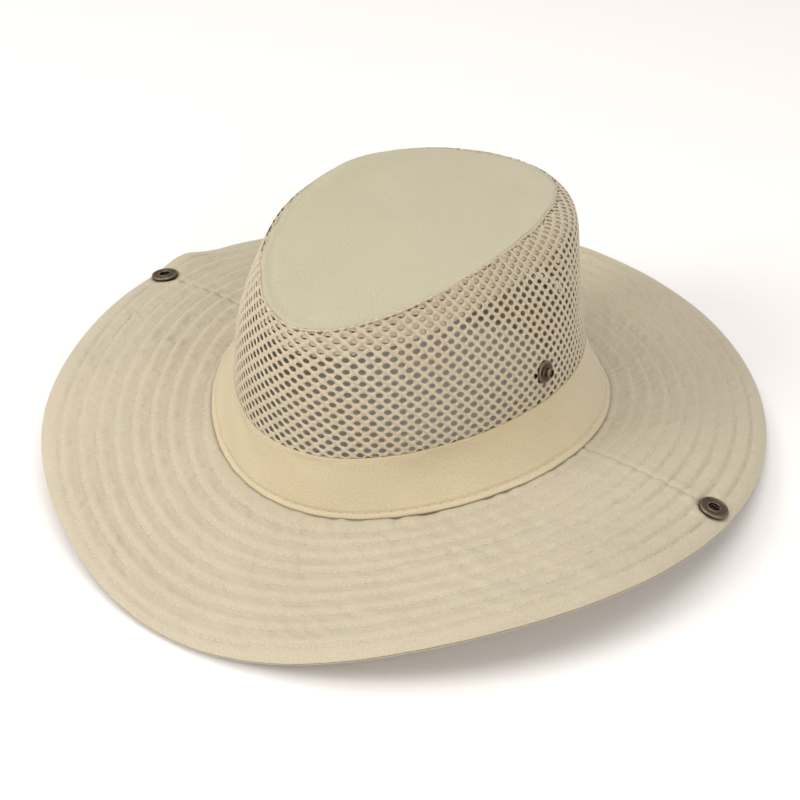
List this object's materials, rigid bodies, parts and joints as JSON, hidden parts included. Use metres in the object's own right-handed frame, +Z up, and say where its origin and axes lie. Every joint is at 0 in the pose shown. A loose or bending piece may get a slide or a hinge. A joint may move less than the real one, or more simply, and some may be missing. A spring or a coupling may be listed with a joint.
{
  "type": "boonie hat",
  "caption": "Wide-brimmed sun hat with a mesh crown, a quilted brim, and side flaps that fold up and snap to the crown.",
  "frame": {"origin": "on the floor under the middle of the hat, which stands on its brim", "axes": "+Z up, -Y to the front of the hat, +X to the wearer's left"},
  "size_m": [0.354, 0.3904, 0.1243],
  "materials": {
    "tip_cloth": "plain weave, matt",
    "mesh_cloth": "open knitted air mesh",
    "seam_tape": "narrow woven tape",
    "band_cloth": "plain weave, soft sheen",
    "sweatband_cloth": "soft twill",
    "interlining": "stiff nonwoven",
    "brim_cloth": "plain weave, quilted in rows",
    "brim_underside": "plain weave, quilted in rows",
    "snap_brass": "antique, dark in the recesses",
    "spring_wire": "drawn wire"
  },
  "bodies": {
    "root": {"brim_bottom_back": "brim_underside", "brim_bottom_front": "brim_underside", "brim_interlining_back": "interlining", "brim_interlining_front": "interlining", "brim_top_back": "brim_cloth", "brim_top_front": "brim_cloth", "crown_mesh": "mesh_cloth", "crown_tip": "tip_cloth", "hat_band": "band_cloth", "left_snap_stud": "snap_brass", "left_stud_backplate": "snap_brass", "right_snap_stud": "snap_brass", "right_stud_backplate": "snap_brass", "sweatband": "sweatband_cloth", "tip_seam_tape": "seam_tape"},
    "left_flap": {"brim_bottom_back_left_flap": "brim_underside", "brim_bottom_front_left_flap": "brim_underside", "brim_interlining_back_left_flap": "interlining", "brim_interlining_front_left_flap": "interlining", "brim_top_back_left_flap": "brim_cloth", "brim_top_front_left_flap": "brim_cloth", "left_snap_cap": "snap_brass", "left_snap_socket": "snap_brass", "left_snap_spring": "spring_wire"},
    "right_flap": {"brim_bottom_back_right_flap": "brim_underside", "brim_bottom_front_right_flap": "brim_underside", "brim_interlining_back_right_flap": "interlining", "brim_interlining_front_right_flap": "interlining", "brim_top_back_right_flap": "brim_cloth", "brim_top_front_right_flap": "brim_cloth", "right_snap_cap": "snap_brass", "right_snap_socket": "snap_brass", "right_snap_spring": "spring_wire"}
  },
  "joints": [
    {"name": "left_flap_fold", "type": "hinge", "parent": "root", "child": "left_flap", "pos_m": [0.115, 0, 0.0285], "axis": [0.1285, -0.9882, 0.084], "range_deg": [0, 130]},
    {"name": "right_flap_fold", "type": "hinge", "parent": "root", "child": "right_flap", "pos_m": [-0.115, 0, 0.0305], "axis": [0.1288, 0.9907, -0.0446], "range_deg": [0, 130]}
  ]
}
